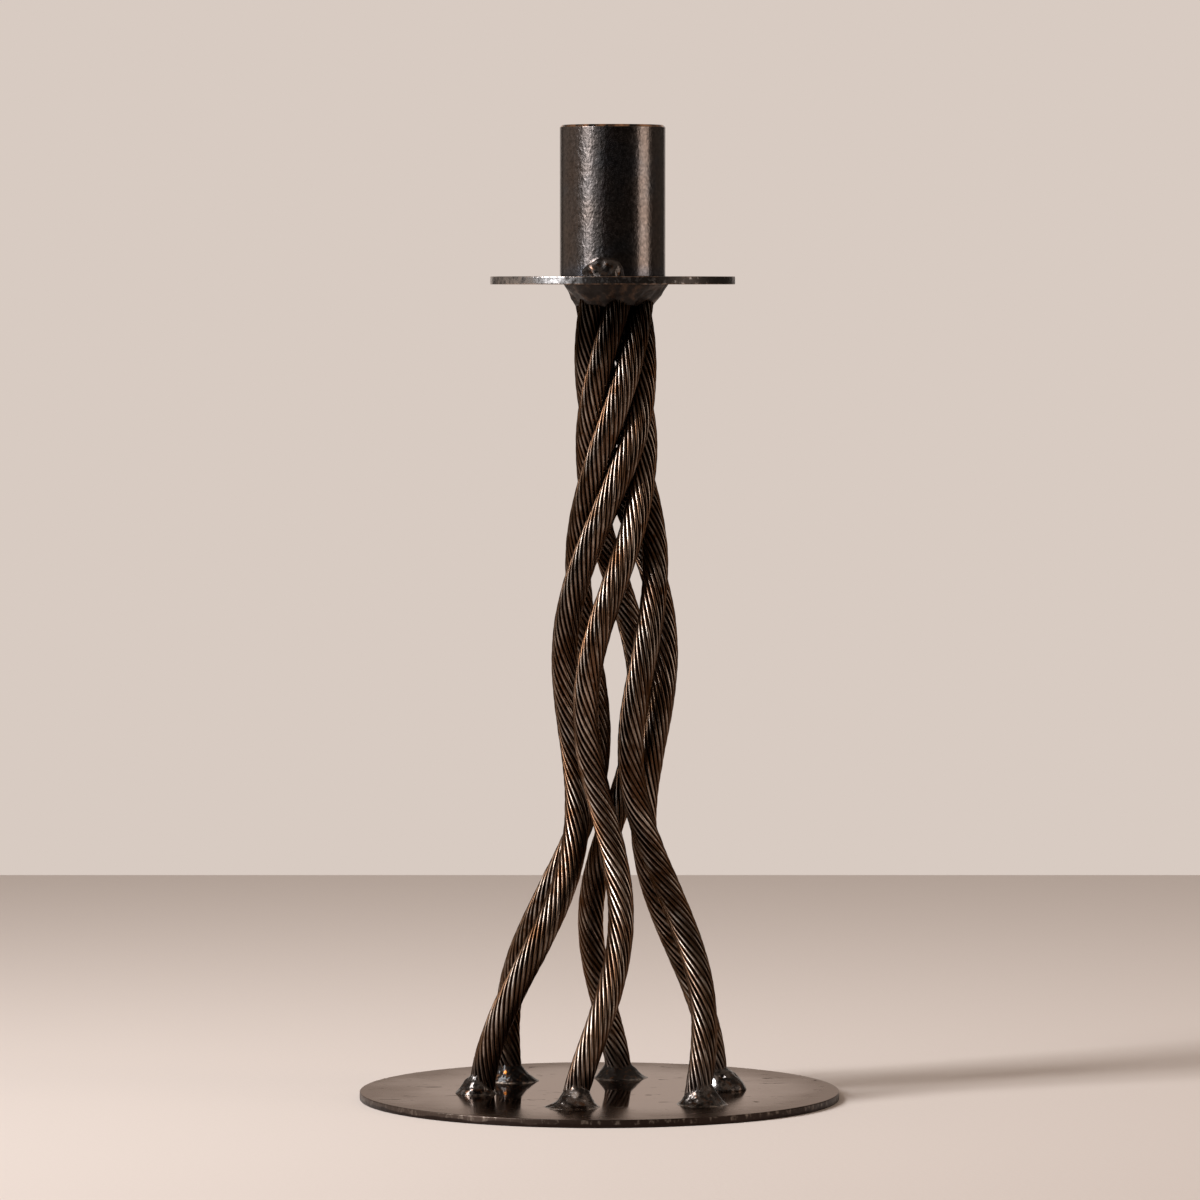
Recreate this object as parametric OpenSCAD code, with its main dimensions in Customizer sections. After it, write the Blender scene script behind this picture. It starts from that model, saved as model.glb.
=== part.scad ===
// Candlestick of six unlaid wire rope strands, welded between a round base plate and a drip pan.
// Millimetres. The origin is the centre of the base plate's underside, +Z is up, -Y is the front.

/* [Base plate] */
// Diameter of the round base plate
plate_d = 120; // [100:1:160]
// Thickness of the base plate
plate_t = 2; // [1:0.1:5]

/* [Stem] */
// Height of the stem, from the base plate's top to the drip pan's underside
stem_h = 201.5; // [185:0.5:260]
// Diameter of one strand of the rope
strand_d = 6.2; // [4:0.1:8]
// Height above the base plate at which the strands start to leave the closed rope
branch_h = 180; // [160:1:185]
// Length of one turn of the rope at the foot, which the unlaid strands keep as a crimp
foot_lay = 99; // [90:1:110]
// Length of one turn of the rope at the head
head_lay = 146; // [125:1:170]
// Mean distance that the feet are bent out from the stem's axis
foot_reach = 28; // [22:0.1:36]
// Radius of the crimp that a strand keeps at its foot
foot_crimp = 4.5; // [2:0.1:6]
// Sideways place of the stem's axis at the base plate
axis_foot_x = 1.3; // [-4:0.05:4]
// Sideways place of the stem's axis at the drip pan
axis_head_x = 3.65; // [-4:0.05:4]
// Sideways bow of the stem's axis at half its height
axis_bow = 1.7; // [-3:0.1:3]

/* [Drip pan] */
// Diameter of the drip pan
pan_d = 61; // [45:1:90]
// Thickness of the drip pan
pan_t = 2; // [1:0.1:4]
// Sideways place of the drip pan's centre
pan_x = 3.3; // [-3:0.1:4]

/* [Candle cup] */
// Bore of the candle cup, for a 22 mm candle
cup_bore = 23; // [18:0.5:30]
// Wall of the candle cup
cup_wall = 1.65; // [1:0.05:3]
// Height of the candle cup
cup_h = 37.6; // [20:0.1:60]
// Chamfer on the outside of the cup's rim
rim_chamfer = 0.6; // [0.1:0.05:0.9]

/* [Welds] */
// Height of a foot weld, up the strand
foot_weld_h = 4.8; // [3:0.1:9]
// Radius of a foot weld at the base plate, for a weld of full size
foot_weld_r = 6.6; // [5.6:0.1:9]
// Height of the weld under the drip pan
top_weld_h = 4.8; // [2:0.1:10]
// How far the weld under the drip pan reaches out beyond the strands
top_weld_reach = 2.9; // [1.5:0.1:5]
// Sideways place of that weld's centre, from the stem's axis
top_weld_side = 0.5; // [0:0.05:0.8]
// How far a tack weld reaches up the candle cup, and out over the drip pan
tack_reach = 3.5; // [2:0.1:4.5]
// Width of a tack weld along the candle cup's foot
tack_w = 10.4; // [9.5:0.1:14]

/* [Hidden] */
// Clearance between a weld and the strand or tube that it holds
weld_gap = 0.1;
// Thickness of a foot weld's upper lip, round the strand
weld_lip = 0.35;
// How far a cut runs past the faces that it cuts
overrun = 1;
// Number of strands, which the nodes list one by one
strand_count = 6;
strand_angle = 360 / strand_count;
// Angle of the first strand round the closed rope at the base plate's level
crimp_start = 154.5;
// Direction in which the first foot is bent out
foot_start = 200;
// Each foot's turn away from its even place, in degrees
foot_turns = [-2.5, 2, -7, -11, 9.5, 7.5];
// Each foot's reach, as a share of the mean one
reach_shares = [1, 1.06, 1.16, 0.85, 0.84, 1];
// Radius of the ring of strands in the closed rope, as a share of a strand's diameter
ring_share = 1.13;
ring_r = strand_d * ring_share;
// How softly the strands leave the closed rope
branch_share = 0.28;
// Rings and sides of a strand's surface, and of a foot weld's
ring_count = 48;
ring_sides = 12;
weld_rings = 5;
weld_sides = 32;
round_fn = 96;

// Each foot weld's size, as a share of the full one
weld_size_shares = [0.8, 1.03, 0.98, 0.91, 1.06, 0.97];
// Each foot weld's shift off its strand, as a share of a strand's diameter, and where it shifts to
weld_shift_shares = [0.18, 0.3, 0.25, 0.32, 0.05, 0.2];
weld_shift_angles = [184, 265, 350, 355, 85, 0];
// How hollow a foot weld's flank is: 1 is a straight cone
weld_hollow = 1.4;
// Where the front tack lies round the cup
tack_angle = 260;

// The stem
stem_top = plate_t + stem_h;
pan_top = stem_top + pan_t;
cup_r = cup_bore / 2 + cup_wall;

STRANDS = [for (k = [1:strand_count]) str("strand_", k)];
FOOT_WELDS = [for (k = [1:strand_count]) str("foot_weld_", k)];

// The stem's axis leans and bows a little sideways. Heights z count from the base plate's top.
function axis_x(z) = let (w = z / stem_h)
    axis_foot_x + (axis_head_x - axis_foot_x) * w + 4 * axis_bow * w * (1 - w);

// Angle through which the rope has turned at a height. Its lay grows steadily to the head.
function rope_turn(z) =
    360 * (z / foot_lay + (1 / head_lay - 1 / foot_lay) * z * z / (2 * stem_h));

// How far out the strands are bent, from 0 in the closed rope to 1 at the base plate
function soft_ramp(u) = sqrt(u * u + branch_share * branch_share) - branch_share;
function bend_out(z) = soft_ramp(max(0, 1 - z / branch_h)) / soft_ramp(1);

// No strand comes nearer to the axis than it lies in the closed rope
function outside_ring(p) = p * max(1, ring_r / norm(p));

// A strand's place across the stem: its foot's bend, and the crimp that it keeps from the rope
function strand_across(k, z) = let (
        bend = bend_out(z),
        foot_angle = foot_start + strand_angle * k + foot_turns[k],
        crimp_angle = crimp_start + strand_angle * k + rope_turn(z),
        crimp = ring_r + (foot_crimp - ring_r) * bend)
    bend * foot_reach * reach_shares[k] * [cos(foot_angle), sin(foot_angle)]
        + crimp * [cos(crimp_angle), sin(crimp_angle)];

function strand_centre(k, z) = let (p = outside_ring(strand_across(k, z)))
    [p.x + axis_x(z), p.y, plate_t + z];

// How far a strand's centre moves sideways for each unit of height
function strand_slope(k, z) = let (
        dz = stem_h / ring_count / 8,
        move = strand_centre(k, z + dz) - strand_centre(k, z - dz))
    [move.x, move.y] / (2 * dz);

// A level ring of the strand's surface: a circle, stretched along the strand's slope
function strand_ring(k, z) = let (
        centre = strand_centre(k, z),
        slope = strand_slope(k, z),
        steepness = norm(slope),
        along = slope / steepness,
        stretch = sqrt(1 + steepness * steepness) - 1)
    [for (i = [0:ring_sides - 1]) let (
            out = [cos(360 * i / ring_sides), sin(360 * i / ring_sides)],
            p = strand_d / 2 * (out + stretch * (out * along) * along))
        [centre.x + p.x, centre.y + p.y, centre.z]];

// A closed surface through level rings of points, from the lowest up
module skin(rings) {
    n = len(rings[0]);
    top = (len(rings) - 1) * n;
    flanks = [for (j = [0:len(rings) - 2], i = [0:n - 1]) let (a = j * n + i, b = j * n + (i + 1) % n)
        each [[a, a + n, b], [b, a + n, b + n]]];
    foot_face = [for (i = [0:n - 1]) i];
    head_face = [for (i = [0:n - 1]) top + n - 1 - i];
    polyhedron([for (ring = rings) each ring], concat(flanks, [foot_face], [head_face]));
}

module strand(k) {
    color([0.20, 0.16, 0.13])
        skin([for (j = [0:ring_count]) strand_ring(k, stem_h * j / ring_count)]);
}

// Stands its children on one point, leaning towards another
module leaning(start, end) {
    run = end - start;
    translate(start) rotate([0, acos(run.z / norm(run)), atan2(run.y, run.x)]) children();
}

// A straight cut that a strand passes through, from one height to another
module strand_cut(k, low, high, fn) {
    start = strand_centre(k, low);
    end = strand_centre(k, high);
    leaning(start, end) translate([0, 0, -overrun])
        cylinder(h = norm(end - start) + 2 * overrun, d = strand_d + 2 * weld_gap, $fn = fn);
}

module base_plate() {
    color([0.33, 0.30, 0.27]) cylinder(h = plate_t, d = plate_d, $fn = round_fn);
}

// A level ring of a foot weld's surface, from 0 at the base plate to 1 at its upper lip
function weld_ring(k, up) = let (
        head_r = strand_d / 2 + weld_gap + weld_lip,
        foot_r = foot_weld_r * weld_size_shares[k],
        shift = strand_d * weld_shift_shares[k] * (1 - up),
        centre = strand_centre(k, foot_weld_h * up)
            + shift * [cos(weld_shift_angles[k]), sin(weld_shift_angles[k]), 0],
        r = head_r + (foot_r - head_r) * pow(1 - up, weld_hollow))
    [for (i = [0:weld_sides - 1])
        centre + r * [cos(360 * i / weld_sides), sin(360 * i / weld_sides), 0]];

// A low leaning cone with a hollow flank, which its strand passes through
module foot_weld(k) {
    color([0.22, 0.21, 0.21]) difference() {
        skin([for (j = [0:weld_rings]) weld_ring(k, j / weld_rings)]);
        strand_cut(k, 0, foot_weld_h, weld_sides);
    }
}

// A cone under the drip pan, outside the ring of strands and between them
module top_weld() {
    inner_r = ring_r + strand_d / 4;
    strands_r = ring_r + strand_d / 2;
    color([0.17, 0.14, 0.12]) difference() {
        translate([axis_head_x + top_weld_side, 0, stem_top - top_weld_h])
            rotate_extrude($fn = round_fn) polygon([[inner_r, 0], [strands_r, 0],
                [strands_r + top_weld_reach, top_weld_h], [inner_r, top_weld_h]]);
        for (k = [0:strand_count - 1]) strand_cut(k, stem_h - top_weld_h, stem_h, round_fn);
    }
}

module drip_pan() {
    color([0.18, 0.16, 0.15])
        translate([pan_x, 0, stem_top]) cylinder(h = pan_t, d = pan_d, $fn = round_fn);
}

// A length of tube, chamfered round the outside of its rim, on the middle of the drip pan
module candle_cup() {
    bore_r = cup_bore / 2;
    color([0.16, 0.15, 0.15])
        translate([pan_x, 0, pan_top]) rotate_extrude($fn = round_fn)
            polygon([[bore_r, 0], [cup_r, 0], [cup_r, cup_h - rim_chamfer],
                [cup_r - rim_chamfer, cup_h], [bore_r, cup_h]]);
}

// The part of a ball that stands on the drip pan, against the outside of the cup. The ball's middle
// lies as far inside the cup's wall as it lies below the pan's top.
module cup_tack(angle) {
    sink = (tack_w * tack_w / 4 - tack_reach * tack_reach) / (2 * tack_reach);
    ball_r = norm([sink + tack_reach, sink]);
    reach_r = cup_r + weld_gap;
    color([0.22, 0.20, 0.19]) translate([pan_x, 0, pan_top]) difference() {
        rotate([0, 0, angle]) translate([reach_r - sink, 0, -sink]) sphere(r = ball_r, $fn = round_fn);
        translate([0, 0, -2 * ball_r]) cylinder(h = 2 * ball_r, r = reach_r + 2 * ball_r, $fn = round_fn);
        translate([0, 0, -overrun]) cylinder(h = 2 * ball_r + overrun, r = reach_r, $fn = round_fn);
    }
}

base_plate();
for (k = [0:strand_count - 1]) strand(k);
for (k = [0:strand_count - 1]) foot_weld(k);
top_weld();
drip_pan();
candle_cup();
cup_tack(tack_angle);  // cup_tack_front
cup_tack(tack_angle + 180);  // cup_tack_rear
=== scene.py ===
"""Twisted candlestick, dressed over its packed CAD model.

Six strands of one wire rope stand on a round steel plate. They close up into the rope again and carry a drip
pan and a candle cup. Everything is steel, welded and then blackened with oil. Lengths are in metres, +Z is
up, and the camera looks along +Y.
"""

import math

import bmesh
import bpy
from mathutils import Matrix, Vector, noise


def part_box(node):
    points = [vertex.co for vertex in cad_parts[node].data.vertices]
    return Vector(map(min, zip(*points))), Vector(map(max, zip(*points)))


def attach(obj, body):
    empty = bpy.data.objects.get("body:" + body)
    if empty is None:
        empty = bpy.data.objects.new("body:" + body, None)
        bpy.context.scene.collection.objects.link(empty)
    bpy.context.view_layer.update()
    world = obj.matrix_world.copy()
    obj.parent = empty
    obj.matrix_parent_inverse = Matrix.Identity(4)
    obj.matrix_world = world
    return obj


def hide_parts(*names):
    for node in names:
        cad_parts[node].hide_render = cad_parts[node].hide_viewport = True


bl_info = {
    "name": "Twisted candlestick",
    "version": (1, 0, 0),
    "blender": (4, 5, 0),
    "location": "3D View > Sidebar > Candlestick",
    "description": "Dresses a candlestick of unlaid wire rope: strands, welds, plate, pan and cup",
    "category": "Add Mesh",
}

MM = 0.001
TURN = 2 * math.pi
BODY = "root"

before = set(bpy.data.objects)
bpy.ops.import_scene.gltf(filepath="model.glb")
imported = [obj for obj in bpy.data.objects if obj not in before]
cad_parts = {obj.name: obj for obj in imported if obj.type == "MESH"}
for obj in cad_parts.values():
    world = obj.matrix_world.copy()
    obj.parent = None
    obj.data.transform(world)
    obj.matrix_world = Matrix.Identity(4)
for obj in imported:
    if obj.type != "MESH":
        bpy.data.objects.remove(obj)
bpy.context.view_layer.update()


def linear(code):
    """An sRGB hex colour as the linear colour with alpha that Blender's sockets take."""
    parts = [int(code[i : i + 2], 16) / 255 for i in (0, 2, 4)]
    return (*(c / 12.92 if c <= 0.04045 else ((c + 0.055) / 1.055) ** 2.4 for c in parts), 1.0)


def middle(node):
    """Where a CAD node's box has its middle, seen from above."""
    low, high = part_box(node)
    return (low.x + high.x) / 2, (low.y + high.y) / 2


def width(node):
    """How wide a CAD node's box is along X."""
    low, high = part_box(node)
    return high.x - low.x


PLATE_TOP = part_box("base_plate")[1].z
STEM_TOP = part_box("drip_pan")[0].z
PAN_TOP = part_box("drip_pan")[1].z
CUP_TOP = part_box("candle_cup")[1].z
STRANDS = sorted(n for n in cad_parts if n.startswith("strand_"))
FOOT_WELDS = sorted(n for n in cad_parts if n.startswith("foot_weld_"))


def length(name, description, default):
    """A size in metres, shown in the scene's own unit."""
    return bpy.props.FloatProperty(
        name=name, description=description, default=default, min=0, precision=5,
        subtype="DISTANCE", unit="LENGTH",
    )


def count(name, description, default, low, high):
    """A whole number."""
    return bpy.props.IntProperty(name=name, description=description, default=default, min=low, max=high)


def colour(name, description, code):
    """A colour, given as sRGB hex."""
    return bpy.props.FloatVectorProperty(
        name=name, description=description, default=linear(code), size=4, min=0, max=1, subtype="COLOR"
    )


def light(name, description, default, **units):
    """A lamp's power in watts, where units say so, or else how bright a surface is, where 1 is white."""
    return bpy.props.FloatProperty(name=name, description=description, default=default, min=0, **units)


class RopeSizes(bpy.types.PropertyGroup):
    """Sizes of the rope's strands and of the wires that they are laid from"""

    wires: count("Outer wires", "Wires round the outside of a strand", 15, 6, 24)
    strand_d: length("Strand diameter", "Over the crowns of its wires", 6.5 * MM)
    wire_d: length("Wire diameter", "Of an outer wire", 1.06 * MM)
    lay: length("Wire lay", "Length of strand in which a wire goes once round, left-handed", 47 * MM)
    wander: length("Wander", "How far a wire strays from its even place", 0.07 * MM)
    step: length("Step", "Distance between the points of a wire", 0.8 * MM)
    sides: count("Wire sides", "Faces round a wire", 9, 5, 16)


class WeldSizes(bpy.types.PropertyGroup):
    """Sizes of the weld metal's surface, over the sizes that come from the CAD nodes"""

    lump: length("Lumps", "Height of the lumps on a foot weld", 0.24 * MM)
    lump_size: length("Lump size", "Width of a lump", 3 * MM)
    drip: length("Drips", "How unevenly the top weld runs down between the strands", 0.7 * MM)


class SheetSizes(bpy.types.PropertyGroup):
    """Sizes of the base plate and the drip pan"""

    plate_d: length("Plate diameter", "Of the round base plate", width("base_plate"))
    pan_d: length("Pan diameter", "Of the drip pan", width("drip_pan"))
    edge: length("Edge radius", "Rounding that cutting and handling left on the sheets' edges", 0.22 * MM)


class CupSizes(bpy.types.PropertyGroup):
    """Sizes of the candle cup"""

    cup_d: length("Cup diameter", "Outside of the tube", width("candle_cup"))
    wall: length("Wall", "Thickness of the tube's wall", 1.65 * MM)
    chamfer: length("Chamfer", "Bevel ground round the outside of the rim", 0.6 * MM)
    edge: length("Edge radius", "Rounding of the tube's edges", 0.12 * MM)


class Finish(bpy.types.PropertyGroup):
    """Colours of the blackened steel and of the stage"""

    # Near black of old oil, soot and marks; on the rope it is also painted shade in the grooves between the
    # wires
    groove: colour("Groove", "Old oil between the wires", "060302")
    wire: colour("Wire", "Flank of a rope wire", "4D3829")
    crown: colour("Crown", "Rubbed crown of a rope wire", "A19285")
    rust: colour("Brown wire", "Wire that was rusty before it was oiled", "543824")
    blued: colour("Blued wire", "Wire close to a foot weld", "322E2C")
    wire_sheen: colour("Wire sheen", "What the wires' oil makes of light at a low angle", "DCC0AE")
    weld: colour("Weld metal", "Glossy blackened weld", "675F5A")
    scale: colour("Weld scale", "Matte brown scale on the top weld", "1C140F")
    plate: colour("Plate", "Face of the rolled sheet", "5C5048")
    plate_sheen: colour("Plate sheen", "What the plate's wax makes of light at a low angle", "F0E2D9")
    edge: colour("Sheet edge", "Cut edge of the base plate", "231711")
    sheared: colour("Sheared edge", "Paler upper part of the plate's cut edge", "463931")
    # Pale: wiped patches on the pan and wear on its edge, which painted light makes brighter on the left, and
    # the painted highlights on welds and tacks
    pan: colour("Pan", "Near-black scale on the pan", "3E3936")
    rubbed: colour("Rubbed pan", "Bright patches on the pan", "C6BFBB")
    cool_temper: colour("Cool temper", "Clouds of a breath of blue on the tube", "656365")
    temper: colour("Temper", "The blackened tube between its clouds", "6A625E")
    warm_temper: colour("Warm temper", "Clouds of a breath of brown on the tube", "6C6059")
    blued_tube: colour("Blued tube", "Tube close to the tack welds", "5B6878")
    bare: colour("Bare rim", "Copper-coloured metal where the black is ground off an edge", "C2936F")
    spot: colour("Heat spot", "Orange spot that the torch left on a weld", "7E4A1A")
    floor: colour("Floor", "Pale floor", "D6C7BC")
    wall: colour("Wall", "Pale surroundings", "D8CBC2")
    lamp: colour("Lamp light", "Light of the key soft box and the lit screen, a little cool", "F4F9FF")
    strip: colour("Strip light", "Light of the strip soft box, a little warm", "FFF1E6")
    room: colour("Room light", "Light that the room sends back, a little warm", "FFEBDB")


class StageSettings(bpy.types.PropertyGroup):
    """Camera, lamps and floor"""

    camera_place: bpy.props.FloatVectorProperty(
        name="Camera", description="Where the camera stands", default=(0.000158, -1.6576, 0.20356),
        subtype="XYZ", unit="LENGTH",
    )
    pitch: bpy.props.FloatProperty(
        name="Pitch", description="How far the camera looks down", default=math.radians(2.7187),
        subtype="ANGLE", unit="ROTATION",
    )
    lens: bpy.props.FloatProperty(
        name="Lens", description="Focal length", default=199.5, min=1,
        subtype="DISTANCE_CAMERA", unit="CAMERA",
    )
    floor_reach: length("Floor reach", "How far the eight-sided floor runs to its edges", 0.629)
    key: light("Key", "Power of the large soft box on the left", 6.4, subtype="POWER", unit="POWER")
    strip: light("Strip", "Power of the narrow soft box on the right", 3.5, subtype="POWER", unit="POWER")
    ceiling: light("Ceiling", "How bright the ceiling is, where 1 is white", 0.35)
    wall_light: light("Wall light", "How bright the walls behind and on the left are, where 1 is white", 0.62)
    glow: light("Glow", "How bright the lit screen on the left is, where 1 is white", 2.7)


def add(tree, kind, inputs=(), **settings):
    """Adds a node. inputs fills those of its sockets that are in use, in their order or by name. Each takes a
    value, or the node or output that feeds it."""
    node = tree.nodes.new(kind)
    for name, value in settings.items():
        setattr(node, name, value)
    sockets = [socket for socket in node.inputs if socket.enabled]
    for key, value in inputs.items() if isinstance(inputs, dict) else enumerate(inputs):
        socket = sockets[key] if isinstance(key, int) else next(s for s in sockets if s.name == key)
        if isinstance(value, bpy.types.Node):
            value = next(output for output in value.outputs if output.enabled)
        if isinstance(value, bpy.types.NodeSocket):
            tree.links.new(value, socket)
        else:
            socket.default_value = value
    return node


# Makes a Map Range ease in and out
SMOOTH = {"interpolation_type": "SMOOTHSTEP"}


def start_material(name):
    """A new material, its tree, and the place on the piece that its patterns start from."""
    material = bpy.data.materials.new(name)
    material.use_nodes = True
    tree = material.node_tree
    tree.nodes.clear()
    return material, tree, add(tree, "ShaderNodeTexCoord").outputs["Object"]


def end_material(material, **inputs):
    """Ends a material's tree in its shader. The shader's sockets are named with _ for a space."""
    tree = material.node_tree
    named = {name.replace("_", " "): value for name, value in inputs.items()}
    shader = add(tree, "ShaderNodeBsdfPrincipled", named)
    add(tree, "ShaderNodeOutputMaterial", (shader,))
    return material


def oiled_rope_wire(finish):
    """Drawn high-carbon steel wire of an old hoist rope, oiled black: pale broken lines on rubbed crowns,
    brown flanks, grooves full of black oil, and painted shade that darkens each wire from its crown into the
    grooves."""
    material, tree, place = start_material("oiled_rope_wire")
    height = add(tree, "ShaderNodeSeparateXYZ", (place,)).outputs["Z"]
    crown, tone_and_shading, run = (
        add(tree, "ShaderNodeAttribute", attribute_name=name).outputs["Fac"]
        for name in ("crown", "wire_tone_and_shading", "wire_run")
    )
    # Patches of rubbed wire some 5 mm long, and of brown wire some 11 mm long
    patch = add(
        tree, "ShaderNodeTexNoise", {"Vector": place, "Scale": 1 / (5 * MM), "Detail": 4.0, "Roughness": 0.6}
    )
    worn = add(tree, "ShaderNodeMapRange", (patch, 0.38, 0.62))
    rubbed = add(tree, "ShaderNodeMapRange", (crown, 0.8, 1.0), **SMOOTH)
    rubbed_share = add(tree, "ShaderNodeMath", (rubbed, worn), operation="MULTIPLY")
    brown_patch = add(tree, "ShaderNodeTexNoise", {"Vector": place, "Scale": 1 / (11 * MM), "Detail": 2.0})
    brown_share = add(tree, "ShaderNodeMapRange", (brown_patch, 0.45, 0.68, 0.0, 0.8))
    browned = add(tree, "ShaderNodeMix", (brown_share, finish.wire, finish.rust), data_type="RGBA")
    crowned = add(tree, "ShaderNodeMix", (rubbed_share, browned, finish.crown), data_type="RGBA")
    # Each wire's tone is its own random tone plus its strand's painted light and shade
    own_tone_and_shading = add(tree, "ShaderNodeMapRange", (tone_and_shading, 0.0, 1.0, 0.7, 1.15), clamp=False)
    toned_and_shaded = add(tree, "ShaderNodeHueSaturation", {"Value": own_tone_and_shading, "Color": crowned})
    # The welding blued the low ends over a centimetre. The high ends go near black over two: heat blackening
    # by the top weld, and painted shadow of the pan
    low_end = add(
        tree, "ShaderNodeMapRange", (height, PLATE_TOP + 5 * MM, PLATE_TOP + 12 * MM, 0.65, 0.0), **SMOOTH
    )
    blued = add(tree, "ShaderNodeMix", (low_end, toned_and_shaded, finish.blued), data_type="RGBA")
    burn_and_pan_shadow = add(
        tree, "ShaderNodeMapRange", (height, STEM_TOP - 9 * MM, STEM_TOP - 27 * MM, 0.15, 1.0), **SMOOTH
    )
    burnt_and_shaded = add(tree, "ShaderNodeHueSaturation", {"Value": burn_and_pan_shadow, "Color": blued})
    # Painted shade, partly old oil: each wire darkens from its crown down its flank into the near black of
    # the grooves
    out_of_groove_shade = add(tree, "ShaderNodeMapRange", (crown, 0.15, 0.92), **SMOOTH)
    base = add(tree, "ShaderNodeMix", (out_of_groove_shade, finish.groove, burnt_and_shaded), data_type="RGBA")
    # Scuffs run 3 mm along each wire and some 0.5 mm across it, and break the highlights
    along = add(tree, "ShaderNodeMath", (run, 1 / (3 * MM)), operation="MULTIPLY")
    own_scuffs = add(tree, "ShaderNodeMath", (tone_and_shading, 300.0), operation="MULTIPLY")
    on_wire = add(tree, "ShaderNodeCombineXYZ", (along, own_scuffs, crown))
    scuffs = add(tree, "ShaderNodeTexNoise", {"Vector": on_wire, "Scale": 1.0, "Detail": 2.0})
    scuffed = add(tree, "ShaderNodeMapRange", (scuffs, 0.3, 0.7, 0.17, 0.36))
    # The heat also left them duller over the lowest 5 cm
    dull = add(tree, "ShaderNodeMapRange", (height, PLATE_TOP + 15 * MM, PLATE_TOP + 50 * MM, 0.1, 0.0))
    rough = add(tree, "ShaderNodeMath", (scuffed, dull), operation="ADD")
    bump = add(tree, "ShaderNodeBump", {"Strength": 0.2, "Distance": 0.04 * MM, "Height": scuffs})
    return end_material(
        material, Base_Color=base, Roughness=rough, Normal=bump, Metallic=1.0,
        Specular_Tint=finish.wire_sheen,
    )


def glossy_weld(finish):
    """Weld metal as it froze, wiped with black oil: a dark skin with sharp highlights and patches of soot,
    and a pale line where it meets the plate."""
    material, tree, place = start_material("glossy_weld_metal")
    height = add(tree, "ShaderNodeSeparateXYZ", (place,)).outputs["Z"]
    own_soot, heat_spot, painted_highlight = (
        add(tree, "ShaderNodeAttribute", attribute_name=name).outputs["Fac"]
        for name in ("soot", "heat_spot", "painted_highlight")
    )
    # Ripples of the weld pool, 1.2 mm apart, a finer skin of 0.35 mm, and soot in patches of 1.8 mm
    ripple = add(tree, "ShaderNodeTexNoise", {"Vector": place, "Scale": 1 / (1.2 * MM), "Detail": 2.0})
    fine = add(tree, "ShaderNodeTexNoise", {"Vector": place, "Scale": 1 / (0.35 * MM), "Detail": 3.0})
    soot = add(tree, "ShaderNodeTexNoise", {"Vector": place, "Scale": 1 / (1.8 * MM), "Detail": 3.0})
    patchy = add(tree, "ShaderNodeMapRange", (soot, 0.42, 0.6, 0.0, 0.85))
    sooty = add(tree, "ShaderNodeMath", (patchy, own_soot), operation="MAXIMUM")
    brown = add(tree, "ShaderNodeMapRange", (ripple, 0.55, 0.75))
    # The lowest 0.3 mm, where the weld's toe meets the plate, is paler, broken by the ripples
    toe = add(tree, "ShaderNodeMapRange", (height, PLATE_TOP + 0.1 * MM, PLATE_TOP + 0.35 * MM, 1.0, 0.0))
    unbroken = add(tree, "ShaderNodeMapRange", (ripple, 0.4, 0.55, 0.0, 0.6))
    pale_toe = add(tree, "ShaderNodeMath", (toe, unbroken), operation="MULTIPLY")
    base = finish.weld
    # A painted highlight mixes in the pale colour where a weld or tack is marked for one
    for share, over in (
        (sooty, finish.groove), (brown, finish.rust), (heat_spot, finish.spot), (painted_highlight, finish.rubbed),
        (pale_toe, finish.crown),
    ):
        base = add(tree, "ShaderNodeMix", (share, base, over), data_type="RGBA")
    smooth = add(tree, "ShaderNodeMapRange", (fine, 0.3, 0.7, 0.12, 0.32))
    rough = add(tree, "ShaderNodeMath", (own_soot, 0.22, smooth), operation="MULTIPLY_ADD")
    rippled = add(tree, "ShaderNodeBump", {"Strength": 0.6, "Distance": 0.16 * MM, "Height": ripple})
    bump = add(
        tree, "ShaderNodeBump", {"Strength": 0.6, "Distance": 0.07 * MM, "Height": fine, "Normal": rippled}
    )
    return end_material(
        material, Base_Color=base, Roughness=rough, Normal=bump, Metallic=1.0,
        Coat_Weight=0.15, Coat_Roughness=0.08,
    )


def scaled_weld(finish):
    """Weld metal left under its brown scale: matte and dark, with softer lighter patches."""
    material, tree, place = start_material("scaled_weld_metal")
    # Patches of 2.5 mm over a grain of 0.3 mm
    patch = add(
        tree, "ShaderNodeTexNoise",
        {"Vector": place, "Scale": 1 / (2.5 * MM), "Detail": 4.0, "Roughness": 0.6},
    )
    grain = add(tree, "ShaderNodeTexNoise", {"Vector": place, "Scale": 1 / (0.3 * MM), "Detail": 2.0})
    lighter = add(tree, "ShaderNodeMapRange", (patch, 0.5, 0.75))
    base = add(tree, "ShaderNodeMix", (lighter, finish.scale, finish.wire), data_type="RGBA")
    rough = add(tree, "ShaderNodeMapRange", (patch, 0.35, 0.7, 0.5, 0.28))
    patchy = add(tree, "ShaderNodeBump", {"Strength": 0.6, "Distance": 0.25 * MM, "Height": patch})
    bump = add(
        tree, "ShaderNodeBump", {"Strength": 0.4, "Distance": 0.03 * MM, "Height": grain, "Normal": patchy}
    )
    return end_material(material, Base_Color=base, Roughness=rough, Normal=bump, Metallic=0.7)


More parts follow.
